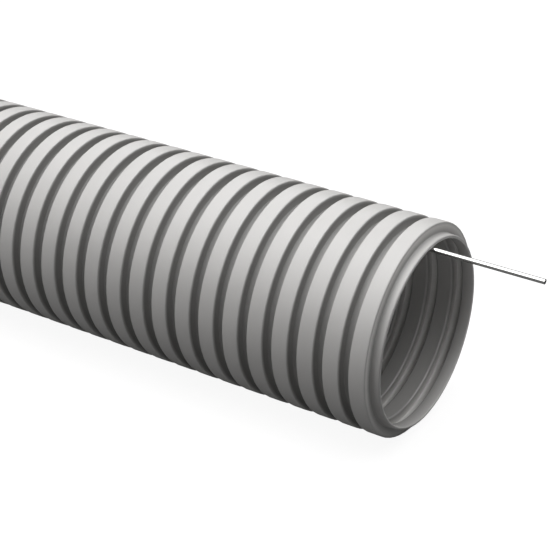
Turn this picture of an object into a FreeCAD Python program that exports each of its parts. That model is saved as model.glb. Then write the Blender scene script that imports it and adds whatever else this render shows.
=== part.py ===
import FreeCAD, Part
import Sketcher
import math
import os

# Corrugated conduit with its draw wire, about one metre, lying on the floor.
# +X runs along the conduit to the mouth that is shown, +Z is up, and the origin
# is on the floor below the middle of its length. Lengths are in millimetres and
# angles in degrees, counted round the axis from +Y over the top.

DRIVING_SIZES = {
    "outer_diameter": 63.0,
    "stock_length": 1000.0,
    "wave_pitch": 8.14,
    "crown_width": 5.04,
    "wave_depth": 3.1,
    "wall_thickness": 1.0,
    "lip_length": 2.78,
    "wire_diameter": 1.5,
    "wire_clearance": 0.2,
    "wire_overhang": 32.8,
    "wire_mouth_angle": 90.0,
    "wire_far_angle": -90.0,
    "wire_run_limit": 60.0,
    "wire_bend_share": 0.45,
}

doc = FreeCAD.newDocument("corrugated_conduit")
sizes = doc.addObject("Spreadsheet::Sheet", "sizes")
for row, (alias, value) in enumerate(DRIVING_SIZES.items(), start=1):
    sizes.set(f"A{row}", alias)
    sizes.set(f"B{row}", str(value))
    sizes.setAlias(f"B{row}", alias)
doc.recompute()

# Worked-out sizes, as expressions on the sheet
OUTER_RADIUS = "(sizes.outer_diameter / 2)"
VALLEY_RADIUS = f"({OUTER_RADIUS} - sizes.wave_depth)"
CAVITY_RADIUS = f"({OUTER_RADIUS} - sizes.wall_thickness)"
BORE_RADIUS = f"({VALLEY_RADIUS} - sizes.wall_thickness)"
VALLEY_WIDTH = "(sizes.wave_pitch - sizes.crown_width)"

# The cut falls in the first valley past the stock length
CROWN_COUNT = f"ceil((sizes.stock_length - 2 * sizes.lip_length + {VALLEY_WIDTH}) / sizes.wave_pitch)"
CONDUIT_LENGTH = f"({CROWN_COUNT} * sizes.wave_pitch - {VALLEY_WIDTH} + 2 * sizes.lip_length)"
FIRST_CROWN_END = "(sizes.lip_length + sizes.crown_width)"
LAST_CROWN_END = f"({CONDUIT_LENGTH} - sizes.lip_length)"

# How far a cutting profile reaches past the surface that it opens
CUT_REACH = "sizes.wall_thickness"


def worked_out(expression):
    """The number that an expression on the sheet gives."""
    return float(sizes.evalExpression(expression))


def size_of(alias):
    """A driving size, read from the sheet."""
    return float(sizes.get(alias))


def origin_feature(body, role):
    """One of a body's own origin planes or axes."""
    return next(item for item in body.Origin.OriginFeatures if item.Role == role)


def section_sketch(body, name, start, end, inner, outer):
    """A rectangle of the conduit's half section: start and end along the axis, two radii."""
    sketch = body.newObject("Sketcher::SketchObject", name)
    sketch.AttachmentSupport = (origin_feature(body, "XZ_Plane"), "")
    sketch.MapMode = "FlatFace"
    low_x, high_x = worked_out(start), worked_out(end)
    low_r, high_r = worked_out(inner), worked_out(outer)
    corners = [(low_x, low_r), (high_x, low_r), (high_x, high_r), (low_x, high_r)]
    points = [FreeCAD.Vector(x, r, 0) for x, r in corners]
    for index in range(4):
        sketch.addGeometry(Part.LineSegment(points[index], points[(index + 1) % 4]))
        sketch.addConstraint(Sketcher.Constraint("Horizontal" if index % 2 == 0 else "Vertical", index))
    for index in range(4):
        sketch.addConstraint(Sketcher.Constraint("Coincident", index, 2, (index + 1) % 4, 1))
    bounds = (
        ("start", "DistanceX", 0, start),
        ("end", "DistanceX", 2, end),
        ("inner", "DistanceY", 0, inner),
        ("outer", "DistanceY", 2, outer),
    )
    for bound, kind, line, expression in bounds:
        constraint = Sketcher.Constraint(kind, -1, 1, line, 1, worked_out(expression))
        number = sketch.addConstraint(constraint)
        sketch.renameConstraint(number, bound)
        sketch.setExpression(f"Constraints.{bound}", expression)
    return sketch


def turned(body, kind, name, sketch):
    """A full turn of a section about the conduit's axis."""
    feature = body.newObject(f"PartDesign::{kind}", name)
    feature.Profile = sketch
    feature.ReferenceAxis = (sketch, ["H_Axis"])
    feature.Angle = 360
    doc.recompute()
    return feature


def repeated(body, name, feature, count):
    """A turned cut repeated along the conduit, one to each wave."""
    pattern = body.newObject("PartDesign::LinearPattern", name)
    pattern.Originals = [feature]
    pattern.Direction = (origin_feature(body, "X_Axis"), [""])
    pattern.setExpression("Length", f"({count} - 1) * sizes.wave_pitch")
    pattern.setExpression("Occurrences", count)
    body.Tip = pattern
    doc.recompute()
    return pattern


def conduit_body():
    """The blown plastic wall: a tube with valleys outside and the crowns' cavities inside."""
    body = doc.addObject("PartDesign::Body", "conduit")
    body.Label = "conduit"
    blank = section_sketch(body, "blank_section", "0", CONDUIT_LENGTH, BORE_RADIUS, OUTER_RADIUS)
    turned(body, "Revolution", "blank", blank)

    past_outside = f"{OUTER_RADIUS} + {CUT_REACH}"
    far_lip = section_sketch(body, "far_lip_section", f"0 - {CUT_REACH}", "sizes.lip_length",
                             VALLEY_RADIUS, past_outside)
    turned(body, "Groove", "far_lip", far_lip)
    near_lip = section_sketch(body, "near_lip_section", LAST_CROWN_END, f"{CONDUIT_LENGTH} + {CUT_REACH}",
                              VALLEY_RADIUS, past_outside)
    turned(body, "Groove", "near_lip", near_lip)

    valley = section_sketch(body, "valley_section", FIRST_CROWN_END, f"{FIRST_CROWN_END} + {VALLEY_WIDTH}",
                            VALLEY_RADIUS, past_outside)
    valley_cut = turned(body, "Groove", "valley", valley)
    cavity = section_sketch(body, "cavity_section", "sizes.lip_length + sizes.wall_thickness",
                            f"{FIRST_CROWN_END} - sizes.wall_thickness",
                            f"{BORE_RADIUS} - {CUT_REACH}", CAVITY_RADIUS)
    cavity_cut = turned(body, "Groove", "cavity", cavity)
    repeated(body, "valleys", valley_cut, f"({CROWN_COUNT} - 1)")
    repeated(body, "cavities", cavity_cut, CROWN_COUNT)
    return body


def wire_route(length):
    """Points of the draw wire: parallel to the axis at each mouth, and between the mouths it
    winds down round the bore's wall from the top at the shown mouth to the bottom at the far one."""
    wall_gap = size_of("wire_clearance") + size_of("wire_diameter") / 2
    radius = worked_out(BORE_RADIUS) - wall_gap
    overhang = size_of("wire_overhang")
    whole = length + 2 * overhang
    runs = math.ceil(whole / size_of("wire_run_limit"))
    mouth_angle = size_of("wire_mouth_angle")
    far_angle = size_of("wire_far_angle")
    points = []
    for index in range(runs + 1):
        share = min(max((index - 1) / (runs - 2), 0.0), 1.0)
        eased = (1 + math.cos(math.pi * share)) / 2
        angle = math.radians(far_angle + (mouth_angle - far_angle) * eased)
        x = length + overhang - whole * index / runs
        points.append(FreeCAD.Vector(x, radius * math.cos(angle), radius * math.sin(angle)))
    return points


def rounded_path(points, share):
    """Straight runs joined by tangent arcs that take a share of the shorter run beside them."""
    edges = []
    start = points[0]
    for before, corner, after in zip(points, points[1:], points[2:]):
        back = before - corner
        ahead = after - corner
        trim = share * min(back.Length, ahead.Length)
        half_turn = (math.pi - back.getAngle(ahead)) / 2
        radius = trim / math.tan(half_turn)
        print(f"wire bend radius {radius:.0f} mm")
        back.normalize()
        ahead.normalize()
        arc_start = corner + back * trim
        arc_end = corner + ahead * trim
        bisector = (back + ahead).normalize()
        arc_middle = corner + bisector * (radius / math.cos(half_turn) - radius)
        edges.append(Part.LineSegment(start, arc_start).toShape())
        edges.append(Part.Arc(arc_start, arc_middle, arc_end).toShape())
        start = arc_end
    edges.append(Part.LineSegment(start, points[-1]).toShape())
    return Part.Wire(edges)


def wire_sweep(length):
    """The steel draw wire: a round section swept along its route."""
    path = doc.addObject("Part::Feature", "wire_path")
    path.Shape = rounded_path(wire_route(length), size_of("wire_bend_share"))
    section = doc.addObject("Part::Circle", "wire_section")
    section.setExpression("Radius", "sizes.wire_diameter / 2")
    tip = path.Shape.Edges[0]
    section.Placement = FreeCAD.Placement(
        tip.valueAt(tip.FirstParameter),
        FreeCAD.Rotation(FreeCAD.Vector(0, 0, 1), tip.tangentAt(tip.FirstParameter)),
    )
    wire = doc.addObject("Part::Sweep", "draw_wire")
    wire.Label = "draw_wire"
    wire.Sections = [section]
    wire.Spine = (path, [f"Edge{number}" for number in range(1, len(path.Shape.Edges) + 1)])
    wire.Solid = True
    wire.Frenet = False
    doc.recompute()
    swept = path.Shape.Length * section.Shape.Length ** 2 / (4 * math.pi)
    print(f"draw wire {path.Shape.Length:.1f} mm long, volume {wire.Shape.Volume:.1f} of {swept:.1f}")
    return wire


conduit = conduit_body()
conduit_length = worked_out(CONDUIT_LENGTH)
draw_wire = wire_sweep(conduit_length)

# Both pieces are drawn from the far mouth on the conduit's axis, and move together onto the floor
on_the_floor = FreeCAD.Placement(
    FreeCAD.Vector(-conduit_length / 2, 0, worked_out(OUTER_RADIUS)), FreeCAD.Rotation())
subparts = (conduit, draw_wire)
for subpart in subparts:
    subpart.Placement = on_the_floor
doc.recompute()

for item in doc.Objects:
    if "Invalid" in item.State or "Error" in item.State:
        raise RuntimeError(f"{item.Name} did not build: {item.State}")
for subpart in subparts:
    if subpart.Shape.isNull() or not subpart.Shape.isValid():
        raise RuntimeError(f"{subpart.Label} has no valid shape")

os.makedirs("parts", exist_ok=True)
for subpart in subparts:
    subpart.Shape.exportStep(f"parts/{subpart.Label}.step")
    box = subpart.Shape.BoundBox
    print(f"{subpart.Label}: {len(subpart.Shape.Solids)} solid, {len(subpart.Shape.Faces)} faces, "
          f"volume {subpart.Shape.Volume:.0f}, x {box.XMin:.2f} to {box.XMax:.2f}, "
          f"y {box.YMin:.2f} to {box.YMax:.2f}, z {box.ZMin:.2f} to {box.ZMax:.2f}")
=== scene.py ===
import math

import bpy
from mathutils import Matrix, Vector


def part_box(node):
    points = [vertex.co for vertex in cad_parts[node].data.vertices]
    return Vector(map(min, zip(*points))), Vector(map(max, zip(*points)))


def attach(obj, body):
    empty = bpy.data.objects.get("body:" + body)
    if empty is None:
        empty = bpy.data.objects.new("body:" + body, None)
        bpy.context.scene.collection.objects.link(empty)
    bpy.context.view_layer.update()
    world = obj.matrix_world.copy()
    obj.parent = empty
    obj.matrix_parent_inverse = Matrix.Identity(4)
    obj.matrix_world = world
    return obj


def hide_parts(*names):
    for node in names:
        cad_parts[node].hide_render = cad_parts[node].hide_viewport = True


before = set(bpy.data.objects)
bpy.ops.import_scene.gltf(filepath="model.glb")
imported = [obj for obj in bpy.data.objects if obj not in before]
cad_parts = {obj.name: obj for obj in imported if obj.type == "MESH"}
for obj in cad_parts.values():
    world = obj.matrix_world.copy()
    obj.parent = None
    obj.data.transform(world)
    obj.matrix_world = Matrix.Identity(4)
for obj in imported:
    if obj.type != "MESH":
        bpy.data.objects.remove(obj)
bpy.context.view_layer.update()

bl_info = {
    "name": "Corrugated conduit",
    "version": (1, 0, 0),
    "blender": (4, 5, 0),
    "location": "3D View > Sidebar > Conduit",
    "description": "A length of ring-corrugated plastic conduit with its steel draw wire",
    "category": "Add Mesh",
}

MM = 0.001
BODY = "root"

WALL_LOW, WALL_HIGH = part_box("conduit")
WIRE_LOW, WIRE_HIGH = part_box("draw_wire")
MOUTH = Vector((WALL_HIGH.x, 0.0, (WALL_LOW.z + WALL_HIGH.z) / 2))


# Node trees

class Value:
    """A number on a node's output, so that maths on it reads as an expression."""

    def __init__(self, graph, socket):
        self.graph = graph
        self.socket = socket

    def maths(self, operation, *operands):
        return self.graph.node("ShaderNodeMath", {"operation": operation}, operands)

    def __add__(self, other):
        return self.maths("ADD", self, other)

    def __radd__(self, other):
        return self.maths("ADD", other, self)

    def __sub__(self, other):
        return self.maths("SUBTRACT", self, other)

    def __rsub__(self, other):
        return self.maths("SUBTRACT", other, self)

    def __mul__(self, other):
        return self.maths("MULTIPLY", self, other)

    def __rmul__(self, other):
        return self.maths("MULTIPLY", other, self)

    def __truediv__(self, other):
        return self.maths("DIVIDE", self, other)

    def __gt__(self, other):
        return self.maths("GREATER_THAN", self, other)

    def __lt__(self, other):
        return self.maths("LESS_THAN", self, other)

    def least(self, other):
        return self.maths("MINIMUM", self, other)

    def most(self, other):
        return self.maths("MAXIMUM", self, other)

    def floor(self):
        return self.maths("FLOOR", self)

    def sine(self):
        return self.maths("SINE", self)

    def cosine(self):
        return self.maths("COSINE", self)

    def choose(self, when_set, otherwise):
        """when_set where this mask is 1, and otherwise where it is 0."""
        return self * (when_set - otherwise) + otherwise


class Graph:
    """A node tree and the one way in which this file adds nodes to it."""

    def __init__(self, tree):
        self.tree = tree

    def node(self, kind, settings=None, inputs=(), output=0):
        """Adds a node, sets it up, links or sets its inputs and gives one output.

        A ramp's setting "stops" is a row of places and colours."""
        made = self.tree.nodes.new(kind)
        for name, setting in (settings or {}).items():
            if name == "stops":
                self.set_stops(made.color_ramp.elements, setting)
            else:
                setattr(made, name, setting)
        named = inputs.items() if isinstance(inputs, dict) else enumerate(inputs)
        for key, value in named:
            if isinstance(value, Value):
                self.tree.links.new(value.socket, made.inputs[key])
            else:
                made.inputs[key].default_value = value
        return Value(self, made.outputs[output]) if len(made.outputs) else None

    def set_stops(self, elements, stops):
        while len(elements) < len(stops):
            elements.new(1.0)
        for element, (place, colour) in zip(elements, stops):
            element.position = place
            element.color = (*colour, 1.0)

    def vector(self, x, y, z):
        return self.node("ShaderNodeCombineXYZ", None, (x, y, z))


def new_material(name):
    """An empty node material and its graph."""
    material = bpy.data.materials.new(name)
    material.use_nodes = True
    material.node_tree.nodes.clear()
    return material, Graph(material.node_tree)


def show_surface(graph, shader):
    """Ends a material's tree."""
    graph.node("ShaderNodeOutputMaterial", None, {"Surface": shader})


# What a user may change

# The wire's solid is drawn in so many runs of one length, and the first and the last lie along the
# conduit
WIRE_RUNS = 18


class ConduitWallSizes(bpy.types.PropertyGroup):
    """Sizes of the corrugated wall, and the light and shade painted into its plastic's colour."""

    outer_diameter: bpy.props.FloatProperty(
        name="Outer diameter", description="Across the crowns", subtype="DISTANCE", precision=4,
        default=WALL_HIGH.z - WALL_LOW.z)
    crown_count: bpy.props.IntProperty(
        name="Crowns", description="Number of crowns along the conduit", default=123, min=2)
    wave_pitch: bpy.props.FloatProperty(
        name="Wave pitch", description="From one crown to the next", subtype="DISTANCE",
        precision=5, default=8.14 * MM)
    crown_width: bpy.props.FloatProperty(
        name="Crown width", description="Along the conduit, between a crown's two flanks",
        subtype="DISTANCE", precision=5, default=5.04 * MM)
    wave_depth: bpy.props.FloatProperty(
        name="Wave depth", description="From the crowns down to the valleys", subtype="DISTANCE",
        precision=5, default=3.1 * MM)
    wall_thickness: bpy.props.FloatProperty(
        name="Wall", description="Thickness of the plastic, the same all over", subtype="DISTANCE",
        precision=5, default=1.0 * MM)
    crown_round: bpy.props.FloatProperty(
        name="Crown rounding", description="Radius of a crown's two outer shoulders",
        subtype="DISTANCE", precision=5, default=0.4 * MM)
    valley_round: bpy.props.FloatProperty(
        name="Valley rounding", description="Radius in a valley's two outer corners",
        subtype="DISTANCE", precision=5, default=0.3 * MM)
    crest_round: bpy.props.FloatProperty(
        name="Crest rounding", description="Radius of the bore's crests between the cavities",
        subtype="DISTANCE", precision=5, default=0.55 * MM)
    roof_round: bpy.props.FloatProperty(
        name="Roof rounding", description="Radius in the two corners inside a crown",
        subtype="DISTANCE", precision=5, default=0.25 * MM)
    lip_round: bpy.props.FloatProperty(
        name="Lip rounding", description="Radius of the lips' outer edges", subtype="DISTANCE",
        precision=5, default=0.5 * MM)
    mouth_round: bpy.props.FloatProperty(
        name="Mouth rounding", description="Radius of the lips' inner edges", subtype="DISTANCE",
        precision=5, default=0.22 * MM)
    fine_length: bpy.props.FloatProperty(
        name="Fine length", description="How far from the shown mouth the rounds are finely divided",
        subtype="DISTANCE", default=175 * MM)
    segments: bpy.props.IntProperty(
        name="Segments", description="Flats round the conduit", default=64, min=12)
    # Painted light and shade, as shares of the plastic's colour: below 1 is painted shade, above 1
    # painted light. Painted shade in the valleys and on the crowns' flanks, where the grooves lie in
    # shade
    valley_painted_shade: bpy.props.FloatProperty(
        name="Valley painted shade", description="Brightness of a valley's floor beside the crowns",
        default=0.58)
    flank_painted_shade: bpy.props.FloatProperty(
        name="Flank painted shade", description="Brightness of a crown's flanks beside its top", default=0.46)
    # Painted shade on the lips' outside beside the end crowns, and on the lips' outer edges
    lip_painted_shade: bpy.props.FloatProperty(
        name="Lip painted shade", description="Brightness of the lips' outside beside the end crowns",
        default=0.7)
    rim_painted_shade: bpy.props.FloatProperty(
        name="Rim painted shade", description="Brightness of the lips' outer edges", default=0.86)
    # Painted light on the end crowns' open flanks, which face the shown mouth
    end_painted_light: bpy.props.FloatProperty(
        name="End painted light", description="Brightness of the end crowns' open flanks", default=1.8)
    # Painted shade on the bore's crests, and painted light on the roofs, deep in the cavities and at
    # the lips' inner edges
    crest_painted_shade: bpy.props.FloatProperty(
        name="Crest painted shade", description="Brightness of the bore's crests", default=0.86)
    roof_painted_light: bpy.props.FloatProperty(
        name="Roof painted light", description="Brightness of the roofs inside the crowns", default=1.05)
    recess_painted_light: bpy.props.FloatProperty(
        name="Recess painted light", description="Brightness deep in a cavity, where it faces the shown mouth",
        default=1.4)
    mouth_painted_light: bpy.props.FloatProperty(
        name="Mouth painted light", description="Brightness of the bore at the lips", default=1.4)


class ConduitWireSizes(bpy.types.PropertyGroup):
    """Sizes and lay of the draw wire."""

    diameter: bpy.props.FloatProperty(
        name="Diameter", description="Thickness of the wire", subtype="DISTANCE", precision=5,
        default=1.5 * MM)
    off_axis: bpy.props.FloatProperty(
        name="Off the axis", description="From the conduit's axis to the middle of the wire",
        subtype="DISTANCE", precision=5, default=26.36 * MM)
    mouth_angle: bpy.props.FloatProperty(
        name="Mouth angle", description="Where the wire lies at the shown mouth, round the axis from "
        "the far side over the top", subtype="ANGLE", default=math.radians(90))
    far_angle: bpy.props.FloatProperty(
        name="Far angle", description="Where the wire lies at the far mouth", subtype="ANGLE",
        default=math.radians(-90))
    straight_share: bpy.props.FloatProperty(
        name="Straight share", description="How much of the wire is straight at each end",
        subtype="FACTOR", min=0, max=0.4, default=1 / WIRE_RUNS)
    steps: bpy.props.IntProperty(
        name="Steps", description="Divisions along the wire", default=180, min=10)
    sides: bpy.props.IntProperty(
        name="Sides", description="Flats round the wire", default=24, min=6)


class ConduitFinish(bpy.types.PropertyGroup):
    """Colours of the plastic and the wire."""

    plastic: bpy.props.FloatVectorProperty(
        name="Plastic", description="Light grey of the conduit", subtype="COLOR", size=3,
        min=0, max=1, default=(0.56, 0.552, 0.541))
    steel: bpy.props.FloatVectorProperty(
        name="Steel", description="Bright steel of the draw wire", subtype="COLOR", size=3,
        min=0, max=1, default=(0.62, 0.62, 0.61))


class ConduitStudio(bpy.types.PropertyGroup):
    """Camera, light and floor."""

    lens: bpy.props.FloatProperty(
        name="Lens", description="Focal length in millimetres on a 36 mm sensor", default=103.19)
    light_level: bpy.props.FloatProperty(
        name="Light level", description="Power of all the softboxes together, in watts",
        default=254.0)
    surround: bpy.props.FloatProperty(
        name="Surround", description="Brightness of the studio all round, as light", default=0.01)
    floor_lift: bpy.props.FloatProperty(
        name="Floor lift", description="White added to the floor where it is seen", default=0.92)
    mirrored_floor: bpy.props.FloatProperty(
        name="Mirrored floor", description="The share of that white that shows in reflections",
        subtype="FACTOR", min=0, max=1, default=0.03)
    mirrored_surround: bpy.props.FloatProperty(
        name="Mirrored surround", description="How white the studio all round shows in reflections",
        subtype="FACTOR", min=0, max=1, default=1.0)
    floor_colour: bpy.props.FloatVectorProperty(
        name="Floor", description="Colour of the pale floor", subtype="COLOR", size=3,
        min=0, max=1, default=(0.16, 0.16, 0.16))


# Materials

# Painted light and shade: below this depth under the crowns, and over this blend, the plastic's colour
# is scaled by the painted light or shade stored on its surface
PAINTED_SHADING_DEPTH = 0.3 * MM
PAINTED_SHADING_BLEND = 0.8 * MM

# The plastic's faint mottle: its scale, the shares of the colour between which it sways, and where
# on the noise they lie
MOTTLE_SCALE = 60.0
MOTTLE_SHADES = (0.965, 1.02)
MOTTLE_STOPS = (0.3, 0.7)

# Its fine grain, as bump only
PLASTIC_GRAIN_SCALE = 1800.0
PLASTIC_GRAIN_STRENGTH = 0.12
PLASTIC_GRAIN_DEPTH = 0.02 * MM

# Its gloss: the moulded outside is satin and the bore glossier, and the mottle changes both a little
OUTSIDE_ROUGHNESS = 0.42
BORE_ROUGHNESS = 0.22
MOTTLE_ROUGHNESS = 0.1
PLASTIC_IOR = 1.52

# The steel's fine marks from the die: their scale along and across the wire, and how dark and deep
# they are
DIE_MARK_SCALE = (20.0, 2500.0, 2500.0)
DIE_MARK_SHADE = 0.9
DIE_MARK_STOPS = (0.35, 0.65)
DIE_MARK_STRENGTH = 0.15
DIE_MARK_DEPTH = 0.01 * MM

# The wire is bright along its length, and its cut ends are dull and darker
DRAWN_ROUGHNESS = 0.09
DIE_MARK_ROUGHNESS = 0.07
CUT_END_ROUGHNESS = 0.55
CUT_END_DARKENING = 0.75


def plastic_material(colour, crown_radius):
    """Light-grey blown plastic: an even colour with a faint mottle, scaled by painted light and painted
    shade below the crowns, a satin outside and a glossier bore.
    """
    material, graph = new_material("blown_plastic")
    place = graph.node("ShaderNodeTexCoord", None, (), "Object")
    mottle = graph.node(
        "ShaderNodeTexNoise", {"noise_dimensions": "3D"},
        {"Vector": place, "Scale": MOTTLE_SCALE, "Detail": 3.0, "Roughness": 0.55})
    grain = graph.node(
        "ShaderNodeTexNoise", {"noise_dimensions": "3D"},
        {"Vector": place, "Scale": PLASTIC_GRAIN_SCALE, "Detail": 2.0, "Roughness": 0.5})
    bore_side = graph.node("ShaderNodeAttribute", {"attribute_name": "bore_side"}, (), "Fac")
    shades = [tuple(min(channel * shade, 1.0) for channel in colour) for shade in MOTTLE_SHADES]
    open_colour = graph.node(
        "ShaderNodeValToRGB", {"stops": tuple(zip(MOTTLE_STOPS, shades))}, (mottle,))
    from_axis = graph.node(
        "ShaderNodeVectorMath", {"operation": "SUBTRACT"}, (place, (0.0, 0.0, crown_radius)))
    outward = graph.node(
        "ShaderNodeVectorMath", {"operation": "MULTIPLY"}, (from_axis, (0.0, 1.0, 1.0)))
    radius = graph.node("ShaderNodeVectorMath", {"operation": "LENGTH"}, (outward,), "Value")
    # The painted light and shade stored on each surface, faded in below the crowns; the crowns keep the
    # plain colour
    below_crowns = ((crown_radius - PAINTED_SHADING_DEPTH - radius) / PAINTED_SHADING_BLEND).most(0.0).least(1.0)
    surface_painted_shading = graph.node("ShaderNodeAttribute", {"attribute_name": "tone"}, (), "Fac")
    tone = below_crowns.choose(surface_painted_shading, 1.0)
    base = graph.node("ShaderNodeVectorMath", {"operation": "SCALE"}, {
        "Vector": open_colour, "Scale": tone})
    gloss = bore_side.choose(BORE_ROUGHNESS, OUTSIDE_ROUGHNESS)
    bump = graph.node("ShaderNodeBump", None, {
        "Strength": PLASTIC_GRAIN_STRENGTH, "Distance": PLASTIC_GRAIN_DEPTH, "Height": grain})
    shader = graph.node("ShaderNodeBsdfPrincipled", None, {
        "Base Color": base, "Roughness": gloss + MOTTLE_ROUGHNESS * (mottle - 0.5), "Normal": bump,
        "IOR": PLASTIC_IOR})
    show_surface(graph, shader)
    return material


def steel_material(colour):
    """Bright drawn steel, with fine die marks along the wire."""
    material, graph = new_material("drawn_steel")
    place = graph.node("ShaderNodeTexCoord", None, (), "Object")
    stretched = graph.node("ShaderNodeMapping", None, {"Vector": place, "Scale": DIE_MARK_SCALE})
    marks = graph.node(
        "ShaderNodeTexNoise", {"noise_dimensions": "3D"},
        {"Vector": stretched, "Scale": 1.0, "Detail": 3.0, "Roughness": 0.6})
    cut_end = graph.node("ShaderNodeAttribute", {"attribute_name": "cut_end"}, (), "Fac")
    shades = (tuple(channel * DIE_MARK_SHADE for channel in colour), colour)
    drawn_colour = graph.node(
        "ShaderNodeValToRGB", {"stops": tuple(zip(DIE_MARK_STOPS, shades))}, (marks,))
    base = graph.node("ShaderNodeVectorMath", {"operation": "SCALE"}, {
        "Vector": drawn_colour, "Scale": 1 - CUT_END_DARKENING * cut_end})
    gloss = cut_end.choose(CUT_END_ROUGHNESS, DRAWN_ROUGHNESS + DIE_MARK_ROUGHNESS * marks)
    bump = graph.node("ShaderNodeBump", None, {
        "Strength": DIE_MARK_STRENGTH, "Distance": DIE_MARK_DEPTH, "Height": marks})
    shader = graph.node("ShaderNodeBsdfPrincipled", None, {
        "Base Color": base, "Metallic": 1.0, "Roughness": gloss, "Normal": bump})
    show_surface(graph, shader)
    return material


# The corrugated wall

WALL_INPUTS = (
    ("Crowns", "NodeSocketInt", "crown_count"),
    ("Outer Diameter", "NodeSocketFloat", "outer_diameter"),
    ("Wave Pitch", "NodeSocketFloat", "wave_pitch"),
    ("Crown Width", "NodeSocketFloat", "crown_width"),
    ("Wave Depth", "NodeSocketFloat", "wave_depth"),
    ("Wall", "NodeSocketFloat", "wall_thickness"),
    ("Crown Round", "NodeSocketFloat", "crown_round"),
    ("Valley Round", "NodeSocketFloat", "valley_round"),
    ("Crest Round", "NodeSocketFloat", "crest_round"),
    ("Roof Round", "NodeSocketFloat", "roof_round"),
    ("Lip Round", "NodeSocketFloat", "lip_round"),
    ("Mouth Round", "NodeSocketFloat", "mouth_round"),
    ("Fine Length", "NodeSocketFloat", "fine_length"),
    ("Segments", "NodeSocketInt", "segments"),
    # From here: the painted light and shade of each surface, as shares of the plastic's colour
    ("Valley Painted Shade", "NodeSocketFloat", "valley_painted_shade"),
    ("Flank Painted Shade", "NodeSocketFloat", "flank_painted_shade"),
    ("Lip Painted Shade", "NodeSocketFloat", "lip_painted_shade"),
    ("Rim Painted Shade", "NodeSocketFloat", "rim_painted_shade"),
    ("End Painted Light", "NodeSocketFloat", "end_painted_light"),
    ("Crest Painted Shade", "NodeSocketFloat", "crest_painted_shade"),
    ("Roof Painted Light", "NodeSocketFloat", "roof_painted_light"),
    ("Recess Painted Light", "NodeSocketFloat", "recess_painted_light"),
    ("Mouth Painted Light", "NodeSocketFloat", "mouth_painted_light"),
    ("Length", "NodeSocketFloat", None),
    ("Material", "NodeSocketMaterial", None),
)


# Points this near each other are one, and faces that meet at more than this angle show an edge
SEAM_REACH = 0.002 * MM
SHARP_ANGLE = math.radians(60)


def begin_tree(name, inputs):
    """A geometry tree with named inputs, its graph and a value for each input."""
    tree = bpy.data.node_groups.new(name, "GeometryNodeTree")
    for label, kind, _ in inputs:
        tree.interface.new_socket(label, in_out="INPUT", socket_type=kind)
    tree.interface.new_socket("Geometry", in_out="OUTPUT", socket_type="NodeSocketGeometry")
    graph = Graph(tree)
    return graph, {label: graph.node("NodeGroupInput", None, (), label) for label, _, _ in inputs}


def line_through(graph, count, position):
    """A polyline through so many points, each placed by its number."""
    points = graph.node("GeometryNodePoints", None, {"Count": count, "Position": position})
    return graph.node("GeometryNodePointsToCurves", None, {"Points": points})


def finish_tree(graph, skin, material):
    """Closes the skin's seam, smooths it between its sharp edges and ends the tree."""
    joined = graph.node("GeometryNodeMergeByDistance", None, {"Geometry": skin, "Distance": SEAM_REACH})
    smooth = graph.node("GeometryNodeSetShadeSmooth", {"domain": "FACE"}, {"Geometry": joined})
    edge_angle = graph.node("GeometryNodeInputMeshEdgeAngle")
    creased = graph.node(
        "GeometryNodeSetShadeSmooth", {"domain": "EDGE"},
        {"Geometry": smooth, "Selection": edge_angle > SHARP_ANGLE, "Shade Smooth": False})
    real = graph.node("GeometryNodeRealizeInstances", None, {"Geometry": creased})
    finished = graph.node("GeometryNodeSetMaterial", None, {"Geometry": real, "Material": material})
    graph.node("NodeGroupOutput", None, (finished,))
    return graph.tree


# The half section's corners: four to a wave outside and four in the bore, and one at each end of
# either side, at the lips' edges
WAVE_CORNERS = 4
LIP_CORNERS = 4

# How many faces a round gets beside its first where it is finely divided. Elsewhere only the crowns'
# outer shoulders and the lips' edges are rounded, the shoulders by a single face, which takes off as
# much as a round does when its radius is this much smaller.
ROUND_FACES = 2
PLAIN_SHARE = 0.65


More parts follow.
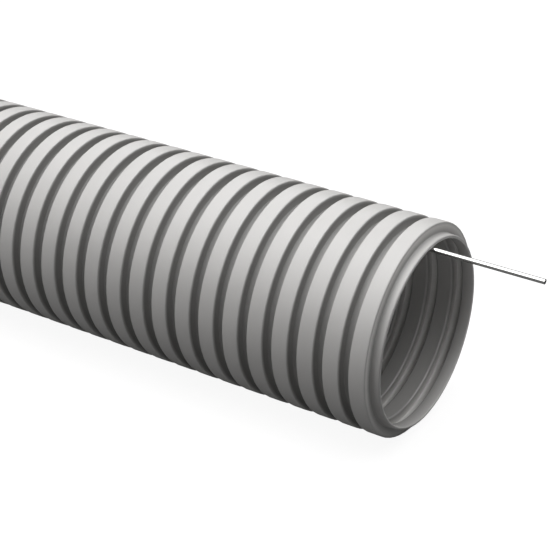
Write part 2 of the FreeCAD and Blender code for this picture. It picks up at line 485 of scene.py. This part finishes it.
def corrugated_wall_tree():
    """A closed half section of the whole wall, its corners worked out from their number, rounded
    and turned about the conduit's axis.

    The section starts at the far lip and runs along the outside to the shown mouth, then back
    along the bore. A step counts the corners on either side from the far lip, which is -1. In each
    wave, corners 0 and 3 lie at the valley's depth, and 1 and 2 at the crown's."""
    graph, size = begin_tree("Corrugated wall", WALL_INPUTS)
    pitch, width, wall = size["Wave Pitch"], size["Crown Width"], size["Wall"]
    crown_radius = size["Outer Diameter"] / 2
    bore_radius = crown_radius - size["Wave Depth"] - wall
    corners = size["Crowns"] * (2 * WAVE_CORNERS) + LIP_CORNERS
    waves_length = size["Crowns"] * pitch - (pitch - width)
    lip = (size["Length"] - waves_length) / 2

    index = graph.node("GeometryNodeInputIndex")
    bore_side = index > (corners / 2 - 0.5)
    step = (index - 1).least(corners - 2 - index)
    wave = (step / WAVE_CORNERS).floor()
    corner = step - wave * WAVE_CORNERS
    past_crown = corner > 1.5
    on_rise = (corner > 0.5) * (corner < 2.5)

    def outermost(count):
        """A mask of the last so many corners at both ends of a side."""
        return (step < count - 1.5).most(step > (corners / 2 - (count + 1.5)))

    rim = outermost(1)

    inset = past_crown.choose(width - bore_side * wall, bore_side * wall)
    along = (wave * pitch + inset).most(0 - lip).least(waves_length + lip)
    outside = on_rise * size["Wave Depth"] + (wall - bore_side * wall)
    section_point = graph.vector(outside, (waves_length / 2) - along, 0.0)

    fine = along > (waves_length + lip - size["Fine Length"])
    valley_or_crest = bore_side.choose(size["Crest Round"], size["Valley Round"])
    crown_or_roof = bore_side.choose(size["Roof Round"], size["Crown Round"])
    fine_radius = on_rise.choose(crown_or_roof, valley_or_crest)
    plain_radius = on_rise * (1 - bore_side) * size["Crown Round"] * PLAIN_SHARE
    rim_radius = bore_side.choose(size["Mouth Round"], size["Lip Round"])
    radius = rim.choose(rim_radius, fine.choose(fine_radius, plain_radius))
    many = bore_side.choose(1 - on_rise, on_rise)
    divisions = 1 + rim.most(fine * many) * ROUND_FACES

    # Painted light and shade for each corner: painted shade in the valleys, on the crowns' flanks, on
    # the lips and on the bore's crests, and painted light on the end crowns' open flanks, the roofs,
    # deep in the cavities and at the mouths
    lip_painted_shade = rim.choose(size["Rim Painted Shade"], size["Lip Painted Shade"])
    outer_painted_shading = on_rise.choose(outermost(3).choose(size["End Painted Light"], size["Flank Painted Shade"]),
                                outermost(2).choose(lip_painted_shade, size["Valley Painted Shade"]))
    bore_painted_shading = on_rise.choose(past_crown.choose(size["Roof Painted Light"], size["Recess Painted Light"]),
                               rim.choose(size["Mouth Painted Light"], size["Crest Painted Shade"]))

    outline = line_through(graph, corners, section_point)
    closed = graph.node("GeometryNodeSetSplineCyclic", None, {"Geometry": outline, "Cyclic": True})
    marked = graph.node(
        "GeometryNodeStoreNamedAttribute", {"data_type": "FLOAT", "domain": "POINT"},
        {"Geometry": closed, "Name": "bore_side", "Value": bore_side})
    # The painted light and shade goes onto the section's points as the tone attribute, which the
    # plastic reads
    toned = graph.node(
        "GeometryNodeStoreNamedAttribute", {"data_type": "FLOAT", "domain": "POINT"},
        {"Geometry": marked, "Name": "tone", "Value": bore_side.choose(bore_painted_shading, outer_painted_shading)})
    rounded = graph.node(
        "GeometryNodeFilletCurve", {"mode": "POLY"},
        {"Curve": toned, "Count": divisions, "Radius": radius})
    turn = graph.node(
        "GeometryNodeCurvePrimitiveCircle", None,
        {"Resolution": size["Segments"], "Radius": bore_radius})
    skin = graph.node("GeometryNodeCurveToMesh", None, {"Curve": turn, "Profile Curve": rounded})
    lying = graph.node("GeometryNodeTransform", None, {
        "Geometry": skin, "Translation": graph.vector(0.0, 0.0, crown_radius),
        "Rotation": (0.0, math.radians(90), 0.0)})
    outward = graph.node("GeometryNodeFlipFaces", None, {"Mesh": lying})
    return finish_tree(graph, outward, size["Material"])


WIRE_INPUTS = (
    ("Diameter", "NodeSocketFloat", "diameter"),
    ("Off Axis", "NodeSocketFloat", "off_axis"),
    ("Mouth Angle", "NodeSocketFloat", "mouth_angle"),
    ("Far Angle", "NodeSocketFloat", "far_angle"),
    ("Straight Share", "NodeSocketFloat", "straight_share"),
    ("Steps", "NodeSocketInt", "steps"),
    ("Sides", "NodeSocketInt", "sides"),
    ("Length", "NodeSocketFloat", None),
    ("Axis Height", "NodeSocketFloat", None),
    ("Material", "NodeSocketMaterial", None),
)


# A face that looks along the conduit at least this squarely is a cut end of the wire
SQUARE_ON = 0.9


def draw_wire_tree():
    """The draw wire: straight out of both mouths, and between them wound down round the bore from
    the top at the shown mouth to the bottom at the far one."""
    graph, size = begin_tree("Draw wire", WIRE_INPUTS)
    index = graph.node("GeometryNodeInputIndex")
    travelled = index / size["Steps"]
    straight = size["Straight Share"]
    turned = ((travelled - straight) / (1 - straight * 2)).most(0.0).least(1.0)
    eased = (1 + (turned * math.pi).cosine()) / 2
    angle = size["Far Angle"] + (size["Mouth Angle"] - size["Far Angle"]) * eased
    position = graph.vector(size["Length"] * (0.5 - travelled), size["Off Axis"] * angle.cosine(),
                            size["Axis Height"] + size["Off Axis"] * angle.sine())
    route = line_through(graph, size["Steps"] + 1, position)
    section = graph.node("GeometryNodeCurvePrimitiveCircle", None, {
        "Resolution": size["Sides"], "Radius": size["Diameter"] / 2})
    skin = graph.node("GeometryNodeCurveToMesh", None, {
        "Curve": route, "Profile Curve": section, "Fill Caps": True})
    facing = graph.node("ShaderNodeSeparateXYZ", None, (graph.node("GeometryNodeInputNormal"),))
    cut = graph.node("GeometryNodeStoreNamedAttribute", {"data_type": "FLOAT", "domain": "FACE"}, {
        "Geometry": skin, "Name": "cut_end", "Value": facing.maths("ABSOLUTE", facing) > SQUARE_ON})
    return finish_tree(graph, cut, size["Material"])


def grown(tree, inputs, sizes, others):
    """An object whose only geometry is what a tree makes from its sizes."""
    holder = bpy.data.objects.new("holder", bpy.data.meshes.new("holder"))
    bpy.context.scene.collection.objects.link(holder)
    modifier = holder.modifiers.new(tree.name, "NODES")
    modifier.node_group = tree
    sockets = {item.name: item.identifier for item in tree.interface.items_tree
               if item.in_out == "INPUT"}
    for label, _, source in inputs:
        modifier[sockets[label]] = getattr(sizes, source) if source else others[label]
    return holder


def plain_mesh(holder, name):
    """Turns what a modifier makes into a piece of plain mesh, and removes the holder."""
    shown = holder.evaluated_get(bpy.context.evaluated_depsgraph_get())
    mesh = bpy.data.meshes.new_from_object(shown)
    mesh.name = name
    bpy.data.objects.remove(holder)
    piece = bpy.data.objects.new(name, mesh)
    bpy.context.scene.collection.objects.link(piece)
    return piece


def dress(piece, node):
    """Puts a finished piece in the place of its plain solid."""
    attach(piece, BODY)
    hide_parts(node)


class CONDUIT_OT_wall(bpy.types.Operator):
    """Make the corrugated plastic wall in place of the plain solid"""

    bl_idname = "conduit.wall"
    bl_label = "Corrugated wall"

    def execute(self, context):
        sizes = context.scene.conduit_wall
        finish = context.scene.conduit_finish
        material = plastic_material(finish.plastic, sizes.outer_diameter / 2)
        holder = grown(corrugated_wall_tree(), WALL_INPUTS, sizes, {
            "Length": WALL_HIGH.x - WALL_LOW.x, "Material": material})
        even = holder.modifiers.new("Even shading", "WEIGHTED_NORMAL")
        even.keep_sharp = True
        dress(plain_mesh(holder, "corrugated_wall"), "conduit")
        return {"FINISHED"}


class CONDUIT_OT_draw_wire(bpy.types.Operator):
    """Make the bright steel draw wire in place of the plain solid"""

    bl_idname = "conduit.draw_wire"
    bl_label = "Draw wire"

    def execute(self, context):
        material = steel_material(context.scene.conduit_finish.steel)
        holder = grown(draw_wire_tree(), WIRE_INPUTS, context.scene.conduit_wire, {
            "Length": WIRE_HIGH.x - WIRE_LOW.x, "Axis Height": MOUTH.z, "Material": material})
        dress(plain_mesh(holder, "steel_draw_wire"), "draw_wire")
        return {"FINISHED"}


# Camera, light and floor

# The photograph's camera: its place from the middle of the mouth, its two ways, the small shift of
# its picture, its sensor in millimetres and the nearest that it sees
CAMERA_FROM_MOUTH = Vector((0.16723, -0.34073, 0.22671))
CAMERA_RIGHT = Vector((0.84217, 0.53921, 0.0))
CAMERA_UP = Vector((-0.26057, 0.40697, 0.87549))
CAMERA_SHIFT = (-0.0004, 0.00045)
SENSOR_WIDTH = 36.0
NEAREST_SEEN = 0.01


def add_camera(lens):
    """The photograph's view of the shown mouth."""
    camera = bpy.data.objects.new("camera", bpy.data.cameras.new("camera"))
    camera.data.lens = lens
    camera.data.sensor_width = SENSOR_WIDTH
    camera.data.clip_start = NEAREST_SEEN
    camera.data.shift_x, camera.data.shift_y = CAMERA_SHIFT
    right = CAMERA_RIGHT.normalized()
    up = CAMERA_UP.normalized()
    back = right.cross(up)
    turn = Matrix((right, up, back)).transposed().to_4x4()
    camera.matrix_world = Matrix.Translation(MOUTH + CAMERA_FROM_MOUTH) @ turn
    bpy.context.scene.collection.objects.link(camera)
    bpy.context.scene.camera = camera


def seen(graph):
    """Two masks: rays straight from the camera, and rays that something mirrors or lets through."""
    direct, glossy, through = (graph.node("ShaderNodeLightPath", None, (), ray)
                               for ray in ("Is Camera Ray", "Is Glossy Ray", "Is Transmission Ray"))
    return direct, glossy.most(through)


# How far the floor reaches each way, and the white that is seen of it and of the studio round it
FLOOR_REACH = 4.0
WHITE = (1.0, 1.0, 1.0, 1.0)


def add_floor(colour, lift, mirrored):
    """A pale floor whose lit part looks white, and which keeps the object's shadow."""
    mesh = bpy.data.meshes.new("studio_floor")
    corners = [(x * FLOOR_REACH, y * FLOOR_REACH, 0.0) for x, y in ((-1, -1), (1, -1), (1, 1), (-1, 1))]
    mesh.from_pydata(corners, [], [(0, 1, 2, 3)])
    floor = bpy.data.objects.new("studio_floor", mesh)
    bpy.context.scene.collection.objects.link(floor)
    material, graph = new_material("studio_floor")
    matt = graph.node("ShaderNodeBsdfDiffuse", None, {"Color": (*colour, 1.0)})
    direct, reflected = seen(graph)
    glow = graph.node("ShaderNodeEmission", None, {
        "Color": WHITE, "Strength": direct.most(reflected * mirrored) * lift})
    both = graph.node("ShaderNodeAddShader", None, (matt, glow))
    show_surface(graph, both)
    mesh.materials.append(material)


# The dim band low round the studio: between which heights it clears, as sines, and its brightness
DIM_BAND = (0.2, 0.32)
DIM_BAND_TONE = 0.1


def add_surround(brightness, mirrored):
    """A studio that is white where it is seen, with a dim band low round it in reflections."""
    world = bpy.data.worlds.new("studio")
    world.use_nodes = True
    world.node_tree.nodes.clear()
    graph = Graph(world.node_tree)
    way = graph.node("ShaderNodeTexCoord", None, (), "Generated")
    height = graph.node("ShaderNodeSeparateXYZ", None, (way,), "Z")
    above = ((height - DIM_BAND[0]) / (DIM_BAND[1] - DIM_BAND[0])).most(DIM_BAND_TONE).least(1.0)
    direct, reflected = seen(graph)
    strength = direct.choose(1.0, reflected.choose(above * mirrored, brightness))
    light = graph.node("ShaderNodeBackground", None, {"Color": WHITE, "Strength": strength})
    graph.node("ShaderNodeOutputWorld", None, {"Surface": light})
    bpy.context.scene.world = world


# Softboxes: name, share of the light, angle from the conduit's axis at the mouth and angle round
# the conduit from the far side, both in degrees, and size in metres round and along the conduit
SOFTBOXES = (
    ("overhead_softbox", 0.52, 105, 97.5, 3.6, 2.5),
    ("mouth_softbox", 0.3, 69, 75, 3.9, 2.9),
    ("far_side_softbox", 0.078, 119, 47.5, 3.2, 0.8),
    ("near_side_softbox", 0.08, 113, 135, 1.7, 1.6),
    ("front_softbox", 0.042, 60, 170, 1.9, 0.9),
)
SOFTBOX_DISTANCE = 4.0

# They all face a point on the axis, this far in from the shown mouth
LIT_INSET = 80 * MM
LIT_POINT = Vector((WALL_HIGH.x - LIT_INSET, 0.0, MOUTH.z))


def add_softboxes(level):
    """Rectangular area lights that face the shown end, long sides round the conduit."""
    for name, share, along, around, width, depth in SOFTBOXES:
        along, around = math.radians(along), math.radians(around)
        outward = Vector((math.cos(along), math.sin(along) * math.cos(around),
                          math.sin(along) * math.sin(around)))
        width_way = Vector((0.0, -math.sin(around), math.cos(around)))
        turn = Matrix((width_way, outward.cross(width_way), outward)).transposed().to_4x4()
        lamp = bpy.data.lights.new(name, "AREA")
        lamp.shape = "RECTANGLE"
        lamp.size = width
        lamp.size_y = depth
        lamp.energy = level * share
        box = bpy.data.objects.new(name, lamp)
        box.matrix_world = Matrix.Translation(LIT_POINT + outward * SOFTBOX_DISTANCE) @ turn
        bpy.context.scene.collection.objects.link(box)


class CONDUIT_OT_studio(bpy.types.Operator):
    """Set up the pale floor, the soft light and the camera"""

    bl_idname = "conduit.studio"
    bl_label = "Studio"

    def execute(self, context):
        studio = context.scene.conduit_studio
        add_camera(studio.lens)
        add_floor(studio.floor_colour, studio.floor_lift, studio.mirrored_floor)
        add_surround(studio.surround, studio.mirrored_surround)
        add_softboxes(studio.light_level)
        context.scene.view_settings.view_transform = "Standard"
        return {"FINISHED"}


class CONDUIT_PT_sidebar(bpy.types.Panel):
    """Lists the sizes, the colours and the operators"""

    bl_idname = "CONDUIT_PT_sidebar"
    bl_label = "Corrugated conduit"
    bl_space_type = "VIEW_3D"
    bl_region_type = "UI"
    bl_category = "Conduit"

    def draw(self, context):
        for group_name, _ in GROUPS:
            group = getattr(context.scene, group_name)
            column = self.layout.column(align=True)
            for name in group.bl_rna.properties.keys():
                if name not in ("rna_type", "name"):
                    column.prop(group, name)
        for operator in (CONDUIT_OT_wall, CONDUIT_OT_draw_wire, CONDUIT_OT_studio):
            self.layout.operator(operator.bl_idname)


GROUPS = (
    ("conduit_wall", ConduitWallSizes),
    ("conduit_wire", ConduitWireSizes),
    ("conduit_finish", ConduitFinish),
    ("conduit_studio", ConduitStudio),
)
CLASSES = (CONDUIT_OT_wall, CONDUIT_OT_draw_wire, CONDUIT_OT_studio, CONDUIT_PT_sidebar)


def register():
    for name, group in GROUPS:
        bpy.utils.register_class(group)
        setattr(bpy.types.Scene, name, bpy.props.PointerProperty(type=group))
    for item in CLASSES:
        bpy.utils.register_class(item)


def unregister():
    for item in reversed(CLASSES):
        bpy.utils.unregister_class(item)
    for name, group in reversed(GROUPS):
        delattr(bpy.types.Scene, name)
        bpy.utils.unregister_class(group)


def main():
    register()
    bpy.ops.conduit.wall()
    bpy.ops.conduit.draw_wire()
    bpy.ops.conduit.studio()


if __name__ == "__main__":
    main()
